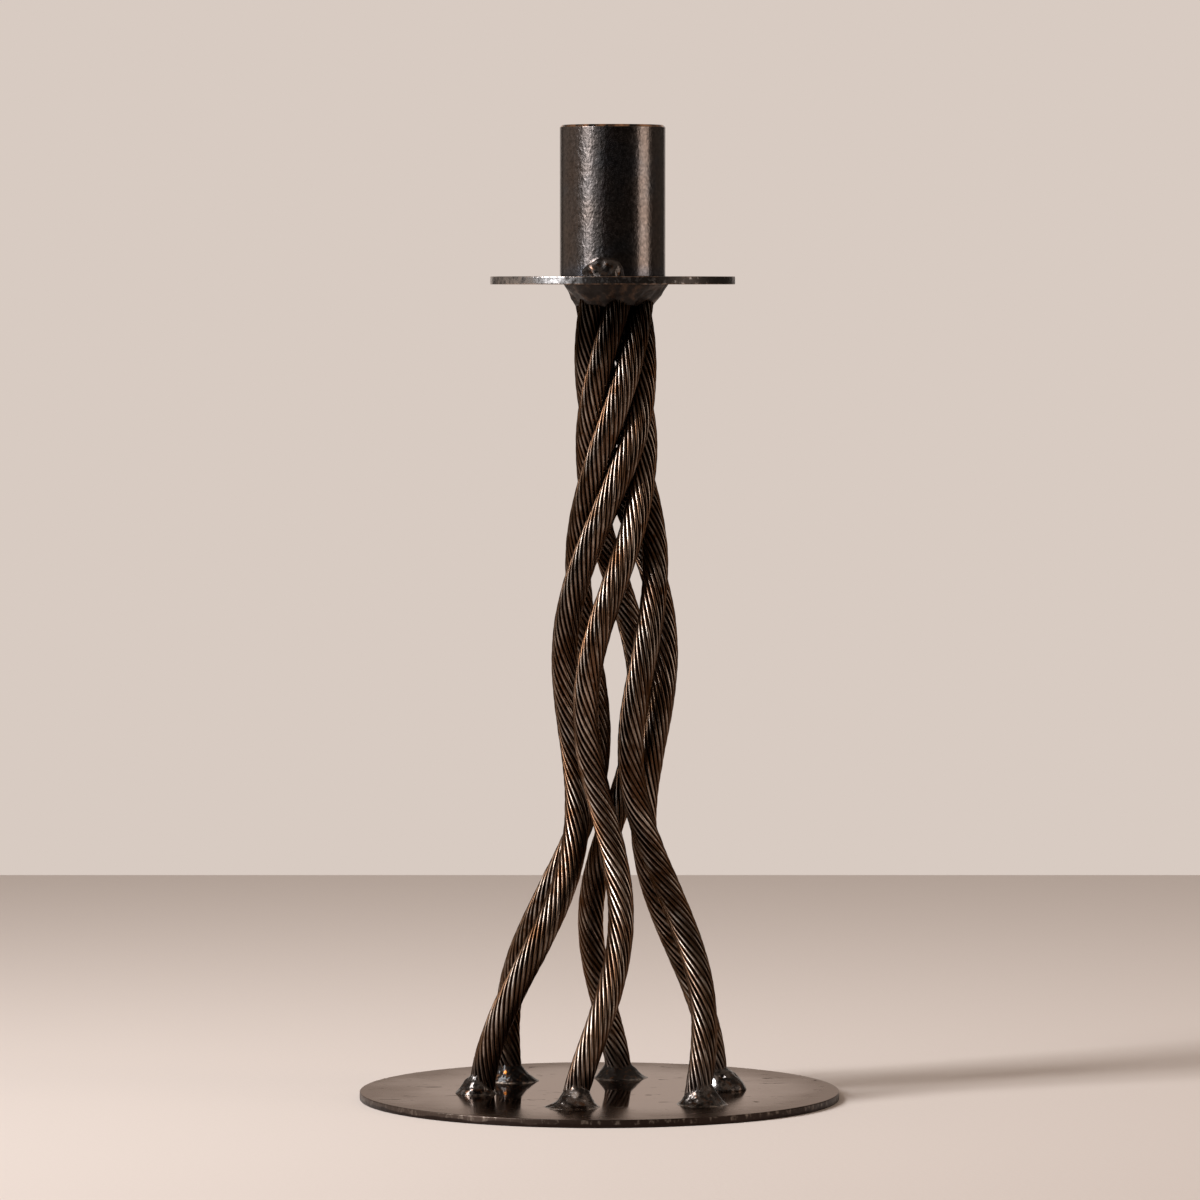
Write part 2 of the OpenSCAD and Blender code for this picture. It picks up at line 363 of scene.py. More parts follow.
def rolled_sheet(finish):
    """Hot-rolled steel sheet, waxed: a warm grey satin that mirrors at a low angle, rubbed smoother in the
    middle, with faint rolling streaks and a few dark marks."""
    material, tree, place = start_material("rolled_steel_sheet")
    # Rolling streaks run along X: 60 mm long and 1.5 mm wide
    rolled = add(tree, "ShaderNodeMapping", {"Vector": place, "Scale": (1 / 60, 1 / 1.5, 1)})
    streak = add(tree, "ShaderNodeTexNoise", {"Vector": rolled, "Scale": 1 / MM, "Detail": 3.0})
    cloud = add(tree, "ShaderNodeTexNoise", {"Vector": place, "Scale": 1 / (20 * MM), "Detail": 4.0})
    clouded = add(tree, "ShaderNodeMapRange", (cloud, 0.3, 0.7, 0.85, 1.1))
    # Painted reflection: paler in the middle than at the border, in soft clouds; smoother there too
    level = add(tree, "ShaderNodeVectorMath", (place, (1, 1, 0)), operation="MULTIPLY")
    off_middle = add(tree, "ShaderNodeVectorMath", (level,), operation="LENGTH")
    uneven = add(tree, "ShaderNodeMath", (cloud, 30 * MM, off_middle), operation="MULTIPLY_ADD")
    paler = add(tree, "ShaderNodeMapRange", (uneven, 35 * MM, 66 * MM, 1.0, 0.72))
    shade = add(tree, "ShaderNodeMath", (clouded, paler), operation="MULTIPLY")
    face = add(tree, "ShaderNodeHueSaturation", {"Value": shade, "Color": finish.plate})
    # Marks: short bent strokes, some 1.7 mm by 6.7 mm, only where a noise peaks
    bent = {"Vector": place, "Scale": (1 / 4, 1, 1), "Rotation": (0, 0, 0.5)}
    turned = add(tree, "ShaderNodeMapping", bent)
    stroke = add(
        tree, "ShaderNodeTexNoise", {"Vector": turned, "Scale": 0.6 / MM, "Detail": 2.0, "Distortion": 1.2}
    )
    mark = add(tree, "ShaderNodeMapRange", (stroke, 0.68, 0.715, 0.0, 0.85))
    base = add(tree, "ShaderNodeMix", (mark, face, finish.groove), data_type="RGBA")
    border = add(tree, "ShaderNodeMapRange", (uneven, 46 * MM, 72 * MM, 0.06, 0.28))
    streaky = add(tree, "ShaderNodeMapRange", (streak, 0.3, 0.7, -0.01, 0.015))
    waxed = add(tree, "ShaderNodeMath", (border, streaky), operation="ADD")
    rough = add(tree, "ShaderNodeMix", (mark, waxed, 0.6))
    bump = add(tree, "ShaderNodeBump", {"Strength": 0.05, "Distance": 0.002 * MM, "Height": streak})
    return end_material(
        material, Base_Color=base, Roughness=rough, Normal=bump, Metallic=1.0,
        Specular_Tint=finish.plate_sheen,
    )


def cut_edge(finish):
    """Edge of a sheet as it was sheared: rough and brown-grey with paler specks, rusty and near black where
    it tore at the bottom."""
    material, tree, place = start_material("cut_steel_edge")
    axes = add(tree, "ShaderNodeSeparateXYZ", (place,)).outputs
    # Specks 1.1 mm wide and 2.2 mm high
    upright = add(tree, "ShaderNodeMapping", {"Vector": place, "Scale": (1 / 1.1, 1 / 1.1, 1 / 2.2)})
    speck = add(
        tree, "ShaderNodeTexNoise", {"Vector": upright, "Scale": 1 / MM, "Detail": 3.0, "Roughness": 0.6}
    )
    # It tore over the lowest 0.6 mm or so, up to a line that wanders by 0.3 mm over lengths of 7 mm
    wander = add(tree, "ShaderNodeTexNoise", {"Vector": place, "Scale": 1 / (7 * MM), "Detail": 4.0})
    over_line = add(tree, "ShaderNodeMath", (wander, -1.9 * MM, axes["Z"]), operation="MULTIPLY_ADD")
    above = add(tree, "ShaderNodeMapRange", (over_line, -0.25 * MM, 0.1 * MM), **SMOOTH)
    # Painted light: the upper part is paler on the left, where the key lamp falls, and stays dark from the
    # middle rightwards
    painted_left_light = add(tree, "ShaderNodeMapRange", (axes["X"], -36 * MM, 0.0, 1.0, 0.1), **SMOOTH)
    paler = add(tree, "ShaderNodeMath", (above, painted_left_light), operation="MULTIPLY")
    face = add(tree, "ShaderNodeMix", (paler, finish.edge, finish.sheared), data_type="RGBA")
    specks = add(tree, "ShaderNodeMapRange", (speck, 0.54, 0.68, 0.0, 0.34))
    shown = add(tree, "ShaderNodeMath", (specks, above), operation="MULTIPLY")
    base = add(tree, "ShaderNodeMix", (shown, face, finish.crown), data_type="RGBA")
    rough = add(tree, "ShaderNodeMapRange", (speck, 0.3, 0.7, 0.5, 0.34))
    bump = add(tree, "ShaderNodeBump", {"Strength": 0.6, "Distance": 0.14 * MM, "Height": speck})
    return end_material(material, Base_Color=base, Roughness=rough, Normal=bump, Metallic=0.85)


def blackened_pan(finish):
    """Sheet steel under oiled heat scale: near black, a little paler in soft clouds where it was wiped."""
    material, tree, place = start_material("blackened_pan_steel")
    # Clouds of 9 mm over a grain of 1.2 mm
    cloud = add(tree, "ShaderNodeTexNoise", {"Vector": place, "Scale": 1 / (9 * MM), "Detail": 4.0})
    grain = add(
        tree, "ShaderNodeTexNoise",
        {"Vector": place, "Scale": 1 / (1.2 * MM), "Detail": 4.0, "Roughness": 0.65},
    )
    wiped = add(tree, "ShaderNodeMapRange", (cloud, 0.4, 0.7, 0.0, 0.3))
    base = add(tree, "ShaderNodeMix", (wiped, finish.pan, finish.rubbed), data_type="RGBA")
    rough = add(tree, "ShaderNodeMapRange", (grain, 0.3, 0.7, 0.36, 0.24))
    bump = add(tree, "ShaderNodeBump", {"Strength": 0.5, "Distance": 0.05 * MM, "Height": grain})
    return end_material(material, Base_Color=base, Roughness=rough, Normal=bump, Metallic=1.0)


def scaled_pan_edge(finish):
    """The pan's cut edge under heat scale: mottled, near black to bright blue-grey, with painted light making
    it brighter on the left, and worn to copper along its corners."""
    material, tree, place = start_material("scaled_pan_edge")
    axes = add(tree, "ShaderNodeSeparateXYZ", (place,)).outputs
    # Mottled in patches of 1.8 mm; painted light makes the bright patches more on the left, where the key
    # lamp reflects, and fewer on the right
    patch = add(
        tree, "ShaderNodeTexNoise",
        {"Vector": place, "Scale": 1 / (1.8 * MM), "Detail": 5.0, "Roughness": 0.65},
    )
    side = add(tree, "ShaderNodeMapRange", (axes["X"], -14 * MM, 2 * MM, 0.08, -0.12), **SMOOTH)
    wear_and_painted_light = add(tree, "ShaderNodeMath", (patch, side), operation="ADD")
    bright = add(tree, "ShaderNodeMapRange", (wear_and_painted_light, 0.4, 0.68))
    mottled = add(tree, "ShaderNodeMix", (bright, finish.pan, finish.rubbed), data_type="RGBA")
    # Wear on the outermost 0.2 mm of both corners, in broken lengths
    off_middle = add(tree, "ShaderNodeMath", (axes["Z"], (STEM_TOP + PAN_TOP) / 2), operation="SUBTRACT")
    to_corner = add(tree, "ShaderNodeMath", (off_middle,), operation="ABSOLUTE")
    corner = add(tree, "ShaderNodeMapRange", (to_corner, 0.78 * MM, 0.92 * MM))
    broken = add(tree, "ShaderNodeMapRange", (patch, 0.42, 0.55, 0.0, 0.6))
    worn = add(tree, "ShaderNodeMath", (corner, broken), operation="MULTIPLY")
    base = add(tree, "ShaderNodeMix", (worn, mottled, finish.bare), data_type="RGBA")
    rough = add(tree, "ShaderNodeMapRange", (wear_and_painted_light, 0.3, 0.7, 0.4, 0.2))
    bump = add(tree, "ShaderNodeBump", {"Strength": 0.6, "Distance": 0.12 * MM, "Height": patch})
    return end_material(material, Base_Color=base, Roughness=rough, Normal=bump, Metallic=1.0)


def blackened_tube(finish):
    """Drawn steel tube, oil-blackened: a near-black satin, crinkled so that it catches a lamp above as a
    mottled band, with a breath of blue and brown temper colour, and ground to copper at the rim."""
    material, tree, place = start_material("blackened_tube_steel")
    height = add(tree, "ShaderNodeSeparateXYZ", (place,)).outputs["Z"]
    # Temper colours in clouds of 12 mm
    cloud = add(tree, "ShaderNodeTexNoise", {"Vector": place, "Scale": 1 / (12 * MM), "Detail": 3.0})
    temper = add(tree, "ShaderNodeValToRGB", (cloud,))
    stops = temper.color_ramp.elements
    stops.new(0.66)
    tempers = ((0.36, finish.cool_temper), (0.47, finish.temper), (0.66, finish.warm_temper))
    for stop, (at, tint) in zip(stops, tempers):
        stop.position, stop.color = at, tint
    # The tack welds blued it close to the pan
    close = add(
        tree, "ShaderNodeMapRange", (height, PAN_TOP + 0.8 * MM, PAN_TOP + 3.5 * MM, 0.3, 0.0), **SMOOTH
    )
    blued = add(tree, "ShaderNodeMix", (close, temper, finish.blued_tube), data_type="RGBA")
    # Grain of the scale, 0.8 mm
    grain = add(
        tree, "ShaderNodeTexNoise",
        {"Vector": place, "Scale": 1 / (0.8 * MM), "Detail": 2.0, "Roughness": 0.6},
    )
    grained = add(tree, "ShaderNodeMapRange", (grain, 0.32, 0.68, 0.65, 1.3))
    side = add(tree, "ShaderNodeHueSaturation", {"Value": grained, "Color": blued})
    # The rim's bevel is burnt black, and bare in broken lengths of some 3 mm
    rim = add(tree, "ShaderNodeMapRange", (height, CUP_TOP - 0.65 * MM, CUP_TOP - 0.45 * MM))
    glint = add(tree, "ShaderNodeTexNoise", {"Vector": place, "Scale": 1 / (3 * MM), "Detail": 3.0})
    broken = add(tree, "ShaderNodeMapRange", (glint, 0.4, 0.58))
    bevel = add(tree, "ShaderNodeMix", (broken, finish.scale, finish.bare), data_type="RGBA")
    base = add(tree, "ShaderNodeMix", (rim, side, bevel), data_type="RGBA")
    # Drawing marks run up the tube: 0.5 mm wide and 9 mm long
    up_tube = add(tree, "ShaderNodeMapping", {"Vector": place, "Scale": (1 / 0.5, 1 / 0.5, 1 / 9)})
    drawn = add(tree, "ShaderNodeTexNoise", {"Vector": up_tube, "Scale": 1 / MM, "Detail": 3.0})
    # Crinkles of the scale: 0.7 mm wide and 1.1 mm long
    longer = add(tree, "ShaderNodeMapping", {"Vector": place, "Scale": (1, 1, 0.7 / 1.1)})
    crinkle = add(tree, "ShaderNodeTexNoise", {"Vector": longer, "Scale": 1 / (0.7 * MM), "Detail": 2.0})
    # Crinkled most on the side that was heated, front left, and nearly smooth elsewhere
    off_axis = add(tree, "ShaderNodeVectorMath", (place, (*middle("candle_cup"), 0)), operation="SUBTRACT")
    heated = add(tree, "ShaderNodeVectorMath", (off_axis, (-0.44, -0.9, 0)), operation="DOT_PRODUCT")
    r = width("candle_cup") / 2
    strength = add(tree, "ShaderNodeMapRange", (heated, 0.84 * r, 0.98 * r, 0.45, 1.0), **SMOOTH)
    rough = add(tree, "ShaderNodeMapRange", (crinkle, 0.3, 0.7, 0.26, 0.18))
    marked = add(tree, "ShaderNodeBump", {"Strength": 0.4, "Distance": 0.03 * MM, "Height": drawn})
    crinkled = {"Strength": strength, "Distance": 0.078 * MM, "Height": crinkle, "Normal": marked}
    bump = add(tree, "ShaderNodeBump", crinkled)
    return end_material(material, Base_Color=base, Roughness=rough, Normal=bump, Metallic=1.0)


def pale_floor(finish):
    """A pale matte floor."""
    material, tree, place = start_material("pale_floor")
    grain = add(tree, "ShaderNodeTexNoise", {"Vector": place, "Scale": 1 / (1.5 * MM), "Detail": 2.0})
    bump = add(tree, "ShaderNodeBump", {"Strength": 0.25, "Distance": 0.2 * MM, "Height": grain})
    return end_material(material, Base_Color=finish.floor, Roughness=0.9, Normal=bump)


def heading(angle, rise=0.0):
    """The direction at an angle anticlockwise from +X, seen from above."""
    return Vector((math.cos(angle), math.sin(angle), rise))


def circle(x, y, z, r, points):
    """A level ring of points."""
    angles = [TURN * i / points for i in range(points)]
    return [Vector((x + r * math.cos(angle), y + r * math.sin(angle), z)) for angle in angles]


def rounded(profile, radius, steps=4):
    """A closed profile of points (r, z) with every corner rounded, and a point close to each arc to hold the
    flats."""
    hold = 0.3
    points = []
    for i, corner in enumerate(profile):
        corner = Vector(corner)
        before = (Vector(profile[i - 1]) - corner).normalized()
        after = (Vector(profile[(i + 1) % len(profile)]) - corner).normalized()
        half = before.angle(after) / 2
        reach = radius / math.tan(half)
        centre = corner + (before + after).normalized() * radius / math.sin(half)
        start, end = corner + before * reach, corner + after * reach
        points.append(start + before * radius * hold)
        for k in range(steps + 1):
            arm = (start - centre).normalized().slerp((end - centre).normalized(), k / steps)
            points.append(centre + arm * radius)
        points.append(end + after * radius * hold)
    return points


def skin(name, rings, looped=False):
    """A closed surface through rings of points, which run anticlockwise seen from above and from the lowest
    ring up. The two ends close in a fan, or, looped, the last ring joins the first."""
    shape = bmesh.new()
    made = [[shape.verts.new(point) for point in ring] for ring in rings]
    points = len(rings[0])
    for low, high in zip(made, made[1:] + made[:1] if looped else made[1:]):
        for i in range(points):
            j = (i + 1) % points
            shape.faces.new((low[i], low[j], high[j], high[i]))
    if not looped:
        for ring, order in ((made[0], -1), (made[-1], 1)):
            pole = shape.verts.new(sum((v.co for v in ring), Vector()) / points)
            for i in range(points):
                shape.faces.new((ring[i], ring[(i + 1) % points], pole)[::order])
    for face in shape.faces:
        face.smooth = True
    mesh = bpy.data.meshes.new(name)
    shape.to_mesh(mesh)
    shape.free()
    piece = bpy.data.objects.new(name, mesh)
    bpy.context.scene.collection.objects.link(piece)
    return piece


def mark_points(piece, name, values):
    """Keeps a number with each point of a piece, for its material to read."""
    piece.data.attributes.new(name, "FLOAT", "POINT").data.foreach_set("value", values)


def dress(piece, slot, node, *materials):
    """Gives a finished piece its materials and sets it on the frame in place of its CAD node."""
    piece.data.materials.clear()
    for material in materials:
        piece.data.materials.append(material)
    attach(piece, BODY)
    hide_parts(node)


def strand_path(node):
    """The middles of a CAD strand's level rings, from the plate up, run on a little at both ends."""
    shape = bmesh.new()
    shape.from_mesh(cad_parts[node].data)
    bmesh.ops.remove_doubles(shape, verts=shape.verts, dist=0.01 * MM)
    rings = []
    for point in sorted((v.co.copy() for v in shape.verts), key=lambda co: co.z):
        if not rings or point.z - rings[-1][-1].z > MM:
            rings.append([])
        rings[-1].append(point)
    shape.free()
    path = [sum(ring, Vector()) / len(ring) for ring in rings]
    run_on = 3 * MM
    start = path[0] + (path[0] - path[1]).normalized() * run_on
    end = path[-1] + (path[-1] - path[-2]).normalized() * run_on
    return [start, *path, end]


def wire_tree():
    """The Geometry Nodes tree that lays wires round a strand's path."""
    tree = bpy.data.node_groups.new("wires_along_strand", "GeometryNodeTree")
    for kind, names in (
        ("Geometry", ("Path",)),
        ("Float", ("Wire diameter", "Strand diameter", "Wire lay", "Wander", "Step")),
        ("Float", ("Painted strand shading", "Low end", "High end")),
        ("Int", ("Wires", "Wire sides", "Seed")),
        ("Material", ("Material",)),
    ):
        for name in names:
            tree.interface.new_socket(name, in_out="INPUT", socket_type="NodeSocket" + kind)
    tree.interface.new_socket("Strand", in_out="OUTPUT", socket_type="NodeSocketGeometry")
    given = add(tree, "NodeGroupInput").outputs

    # The path as a smooth curve with even steps, whose normals don't twist
    straight = add(tree, "GeometryNodeMeshToCurve", (given["Path"],))
    curved = add(tree, "GeometryNodeCurveSplineType", (straight,), spline_type="CATMULL_ROM")
    even = add(tree, "GeometryNodeResampleCurve", {"Curve": curved, "Length": given["Step"]}, mode="LENGTH")
    line = add(tree, "GeometryNodeSetCurveNormal", (even,), mode="MINIMUM_TWIST")

    # One copy of the path for each wire, which remembers where the strand's middle is
    copies = add(tree, "GeometryNodeDuplicateElements", {0: line, "Amount": given["Wires"]}, domain="SPLINE")
    index = copies.outputs["Duplicate Index"]
    # A wire's tone: a random share, plus its strand's painted light and shade
    chance = add(tree, "FunctionNodeRandomValue", {"ID": index, "Seed": given["Seed"]}, data_type="FLOAT")
    tone_and_shading = add(tree, "ShaderNodeMath", (chance, given["Painted strand shading"]), operation="ADD")
    place = add(tree, "GeometryNodeInputPosition")
    run = add(tree, "GeometryNodeSplineParameter").outputs["Length"]
    paths = copies
    for name, kind, value in (
        ("strand_middle", "FLOAT_VECTOR", place), ("wire_tone_and_shading", "FLOAT", tone_and_shading), ("wire_run", "FLOAT", run)
    ):
        stored = {0: paths, "Name": name, "Value": value}
        paths = add(tree, "GeometryNodeStoreNamedAttribute", stored, data_type=kind)

    # A wire's turn round the strand: its even share, less one turn for each lay
    share = add(tree, "ShaderNodeMath", (index, given["Wires"]), operation="DIVIDE")
    turns = add(tree, "ShaderNodeMath", (run, given["Wire lay"]), operation="DIVIDE")
    turned = add(tree, "ShaderNodeMath", (share, turns), operation="SUBTRACT")
    angle = add(tree, "ShaderNodeMath", (turned, TURN), operation="MULTIPLY")
    cosine = add(tree, "ShaderNodeMath", (angle,), operation="COSINE")
    sine = add(tree, "ShaderNodeMath", (angle,), operation="SINE")

    # Its distance from the strand's middle, with a slow wander of its own over lengths of 14 mm
    diameters = (given["Strand diameter"], given["Wire diameter"])
    pitch_d = add(tree, "ShaderNodeMath", diameters, operation="SUBTRACT")
    pitch_r = add(tree, "ShaderNodeMath", (pitch_d, 0.5), operation="MULTIPLY")
    own = add(tree, "ShaderNodeMath", (chance, 50.0), operation="MULTIPLY")
    slow = {"Vector": place, "W": own, "Scale": 1 / (14 * MM), "Detail": 1.0}
    drift = add(tree, "ShaderNodeTexNoise", slow, noise_dimensions="4D")
    stray = add(tree, "ShaderNodeMapRange", (drift, 0.25, 0.75, -1.0, 1.0))
    distance = add(tree, "ShaderNodeMath", (stray, given["Wander"], pitch_r), operation="MULTIPLY_ADD")

    normal = add(tree, "GeometryNodeInputNormal")
    tangent = add(tree, "GeometryNodeInputTangent")
    aside = add(tree, "ShaderNodeVectorMath", (tangent, normal), operation="CROSS_PRODUCT")
    part = add(tree, "ShaderNodeVectorMath", (normal, cosine), operation="SCALE")
    other = add(tree, "ShaderNodeVectorMath", (aside, sine), operation="SCALE")
    out = add(tree, "ShaderNodeVectorMath", (part, other), operation="ADD")
    offset = add(tree, "ShaderNodeVectorMath", (out, distance), operation="SCALE")
    laid = add(tree, "GeometryNodeSetPosition", {0: paths, "Offset": offset})

    # Round wires
    wire_r = add(tree, "ShaderNodeMath", (given["Wire diameter"], 0.5), operation="MULTIPLY")
    outline = {"Resolution": given["Wire sides"], "Radius": wire_r}
    section = add(tree, "GeometryNodeCurvePrimitiveCircle", outline)
    wires = add(tree, "GeometryNodeCurveToMesh", {0: laid, 1: section, "Fill Caps": True})

    # How far each point stands out: 1 on a wire's crown, 0 on its flank, -1 at its inner side
    was = add(tree, "GeometryNodeInputNamedAttribute", {"Name": "strand_middle"}, data_type="FLOAT_VECTOR")
    reach = add(tree, "ShaderNodeVectorMath", (place, was), operation="DISTANCE")
    beyond = add(tree, "ShaderNodeMath", (reach, pitch_r), operation="SUBTRACT")
    crown = add(tree, "ShaderNodeMath", (beyond, wire_r), operation="DIVIDE")
    stored = {0: wires, "Name": "crown", "Value": crown}
    crowned = add(tree, "GeometryNodeStoreNamedAttribute", stored, data_type="FLOAT")

    # The inner wires show only as a dark core
    core_section = add(tree, "GeometryNodeCurvePrimitiveCircle", {"Resolution": 16, "Radius": pitch_r})
    core = add(tree, "GeometryNodeCurveToMesh", {0: line, 1: core_section, "Fill Caps": True})
    stored = {0: core, "Name": "crown", "Value": -1.0}
    dark = add(tree, "GeometryNodeStoreNamedAttribute", stored, data_type="FLOAT")

    # Both ends stay inside the plate and the pan
    both = add(tree, "GeometryNodeJoinGeometry", (crowned,))
    tree.links.new(dark.outputs[0], both.inputs[0])
    axes = add(tree, "ShaderNodeSeparateXYZ", (place,)).outputs
    kept_z = add(tree, "ShaderNodeClamp", (axes["Z"], given["Low end"], given["High end"]))
    kept_place = add(tree, "ShaderNodeCombineXYZ", (axes["X"], axes["Y"], kept_z))
    trimmed = add(tree, "GeometryNodeSetPosition", {0: both, "Position": kept_place})
    smooth = add(tree, "GeometryNodeSetShadeSmooth", (trimmed,))
    real = add(tree, "GeometryNodeRealizeInstances", (smooth,))
    finished = add(tree, "GeometryNodeSetMaterial", {0: real, "Material": given["Material"]})
    add(tree, "NodeGroupOutput", (finished,))
    return tree


def run_tree(piece, tree, values):
    """Runs a tree on a piece with its inputs set, and leaves the piece with the plain mesh that it made."""
    modifier = piece.modifiers.new(tree.name, "NODES")
    modifier.node_group = tree
    for socket in tree.interface.items_tree:
        if socket.in_out == "INPUT" and socket.name in values:
            modifier[socket.identifier] = values[socket.name]
    graph = bpy.context.evaluated_depsgraph_get()
    evaluated = piece.evaluated_get(graph)
    mesh = bpy.data.meshes.new_from_object(evaluated, preserve_all_data_layers=True, depsgraph=graph)
    piece.modifiers.clear()
    piece.data = mesh
    if not mesh.polygons:
        raise RuntimeError(f"{tree.name} made no faces on {piece.name}")


# Painted light and shade on whole strands: how much paler or darker a strand's wires are painted than the
# others', as a shift of their tone, for how the light falls on that strand
STRAND_PAINTED_SHADING = {"strand_2": 0.4, "strand_3": -0.5}
# How far the wires run into the plate and the pan, where they don't show
WIRE_END = 1.2 * MM


class CANDLESTICK_OT_strands(bpy.types.Operator):
    """Lay the wires of the six strands along the packed strands"""

    bl_idname = "candlestick.strands"
    bl_label = "Rope strands"

    def execute(self, context):
        sizes = context.scene.candlestick_rope
        material = oiled_rope_wire(context.scene.candlestick_finish)
        tree = wire_tree()
        values = {
            "Wires": sizes.wires,
            "Wire diameter": sizes.wire_d,
            "Strand diameter": sizes.strand_d,
            "Wire lay": sizes.lay,
            "Wander": sizes.wander,
            "Step": sizes.step,
            "Wire sides": sizes.sides,
            "Low end": PLATE_TOP - WIRE_END,
            "High end": STEM_TOP + WIRE_END,
            "Material": material,
        }
        for number, node in enumerate(STRANDS, 1):
            path = strand_path(node)
            mesh = bpy.data.meshes.new(node + "_wires")
            mesh.from_pydata(path, [(i, i + 1) for i in range(len(path) - 1)], [])
            piece = bpy.data.objects.new(node + "_wires", mesh)
            context.scene.collection.objects.link(piece)
            run_tree(piece, tree, {**values, "Painted strand shading": STRAND_PAINTED_SHADING.get(node, 0.0), "Seed": number})
            dress(piece, "rope_steel", node, material)
        return {"FINISHED"}


# Each foot weld's own form: how full its flank is, over 1 hollow and under 1 bulging, how high it stands on
# the strand's outer and inner side, as shares of its height, how lumpy it is, and how sooty
WELD_FORMS = (
    (1.0, 1.0, 0.15, 1.2, 0.35),
    (1.7, 1.0, 0.6, 1.0, 0.0),
    (1.6, 1.0, 0.6, 1.0, 0.4),
    (0.65, 1.0, 1.0, 0.8, 0.25),
    (1.5, 0.95, 0.6, 0.8, 0.85),
    (1.4, 0.9, 0.85, 0.9, 0.95),
)
# A crater where an arc was broken off, a painted highlight and a copper-coloured spot: the weld, the way
# there from its middle in degrees anticlockwise from +X, the share of its slope, and the radius
CRATERS = {"foot_weld_4": (280, 0.45, 1.1 * MM)}
SPOTS = {
    "painted_highlight": {"foot_weld_2": (262, 0.7, 0.9 * MM), "foot_weld_4": (232, 0.25, 2.2 * MM)},
    "heat_spot": {"foot_weld_6": (250, 0.6, 0.45 * MM)},
}
# How deep a crater is, as a share of its radius
CRATER_DEPTH = 0.6
# A foot weld's points round each ring, and its rings
WELD_ROUND, WELD_UP = 144, 36
# Its top ends inside the strand, in a ring of this radius, and it rises to this many times what shows
WELD_INSIDE, WELD_RISE = 2.5 * MM, 1.25
# How far its toe strays from round, as a share, and in how quick a wave
TOE_STRAY, TOE_WAVE = 0.07, 1.6
# Its lumps end at this share of its slope. A sine that is stretched to run a little faster than the slope
# fades them at both ends, at a power under 1
LUMP_END, LUMP_SPAN, LUMP_FADE = 0.9, 1.1, 0.7
# How much the lumps rise for what they stand out
LUMP_RISE = 0.8
# A weld's hidden end is sunk this deep into the sheet that it sits on. A foot weld's end has this share of
# its toe's radius
WELD_SUNK, WELD_NARROW = 0.5 * MM, 0.9
# The lumps' fractal noise: how fast its octaves fade, the gap between them, and their number
LUMPY = (0.8, 2.0, 3)


def level_circle(points):
    """Middle and radius of a level circle of points, from its box."""
    low_x, high_x = min(p.x for p in points), max(p.x for p in points)
    low_y, high_y = min(p.y for p in points), max(p.y for p in points)
    return Vector(((low_x + high_x) / 2, (low_y + high_y) / 2, points[0].z)), (high_x - low_x) / 2


def foot_weld_rings(node, strand, form, sizes, number):
    """Rings of a lumpy skirt of weld metal, from the plate up into the strand, on the CAD weld's circles."""
    fullness, outer_share, inner_share, lumps, _ = form
    points = [v.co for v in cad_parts[node].data.vertices]
    low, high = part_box(node)
    toe, toe_r = level_circle([p for p in points if p.z < low.z + 0.01 * MM])
    lip, _ = level_circle([p for p in points if p.z > high.z - 0.01 * MM])
    foot = strand_path(strand)[1]
    lean = (lip - foot) / (lip.z - foot.z)
    outward = Vector((foot.x, foot.y, 0)).normalized()
    rings = [circle(toe.x, toe.y, low.z - WELD_SUNK, toe_r * WELD_NARROW, WELD_ROUND)]
    for j in range(WELD_UP + 1):
        u = j / WELD_UP
        # The lumps fade out towards the toe and into the strand
        shown = math.sin(math.pi * (u * LUMP_SPAN)) ** LUMP_FADE if 0 < u < LUMP_END else 0
        ring = []
        for i in range(WELD_ROUND):
            out = heading(TURN * i / WELD_ROUND)
            side = 0.5 + 0.5 * out.dot(outward)
            rise = (high.z - low.z) * (inner_share + (outer_share - inner_share) * side)
            uneven = 1 + TOE_STRAY * noise.noise(out * TOE_WAVE + Vector((number * 7, 0, 0)))
            start = toe + out * toe_r * uneven
            top = foot + lean * rise * WELD_RISE + out * WELD_INSIDE
            place = start.lerp(top, u)
            place.z = low.z + rise * WELD_RISE * u**fullness
            lump = noise.fractal(place / sizes.lump_size + Vector((number * 3, 0, 0)), *LUMPY)
            ring.append(place + (out + Vector((0, 0, LUMP_RISE))) * (sizes.lump * lumps * lump * shown))
        rings.append(ring)
    return rings


def foot_weld(node, strand, form, sizes, number):
    """A foot weld with its crater, its soot, and its spots: a painted highlight and a copper-coloured spot.
    """
    rings = foot_weld_rings(node, strand, form, sizes, number)
    soot = form[-1]

    def away(mark):
        """How far each point lies from a mark's middle, in radii of the mark."""
        way, share, r = mark
        centre = rings[1 + round(share * WELD_UP)][round(way / 360 * WELD_ROUND)].copy()
        return [(point - centre).length / r for ring in rings for point in ring]

    poles = [0.0, 0.0]
    none = [0.0] * len(rings) * WELD_ROUND
    marks = {"soot": [soot] * len(none)}
    if node in CRATERS:
        way, _, r = CRATERS[node]
        out = heading(math.radians(way), 0.5).normalized()
        distances = away(CRATERS[node])
        for point, d in zip((point for ring in rings for point in ring), distances):
            point -= out * r * CRATER_DEPTH * (1 - d * d) * math.exp(-d * d)
        marks["soot"] = [max(soot, math.exp(-d * d * 2)) for d in distances]
    # A spot is full within 0.8 of its radius and gone at 1.2
    for name, spots in SPOTS.items():
        marks[name] = [min(1.0, max(0.0, 3 - 2.5 * d)) for d in away(spots[node])] if node in spots else none
    piece = skin(node + "_metal", rings)
    for name, values in marks.items():
        mark_points(piece, name, values + poles)
    return piece


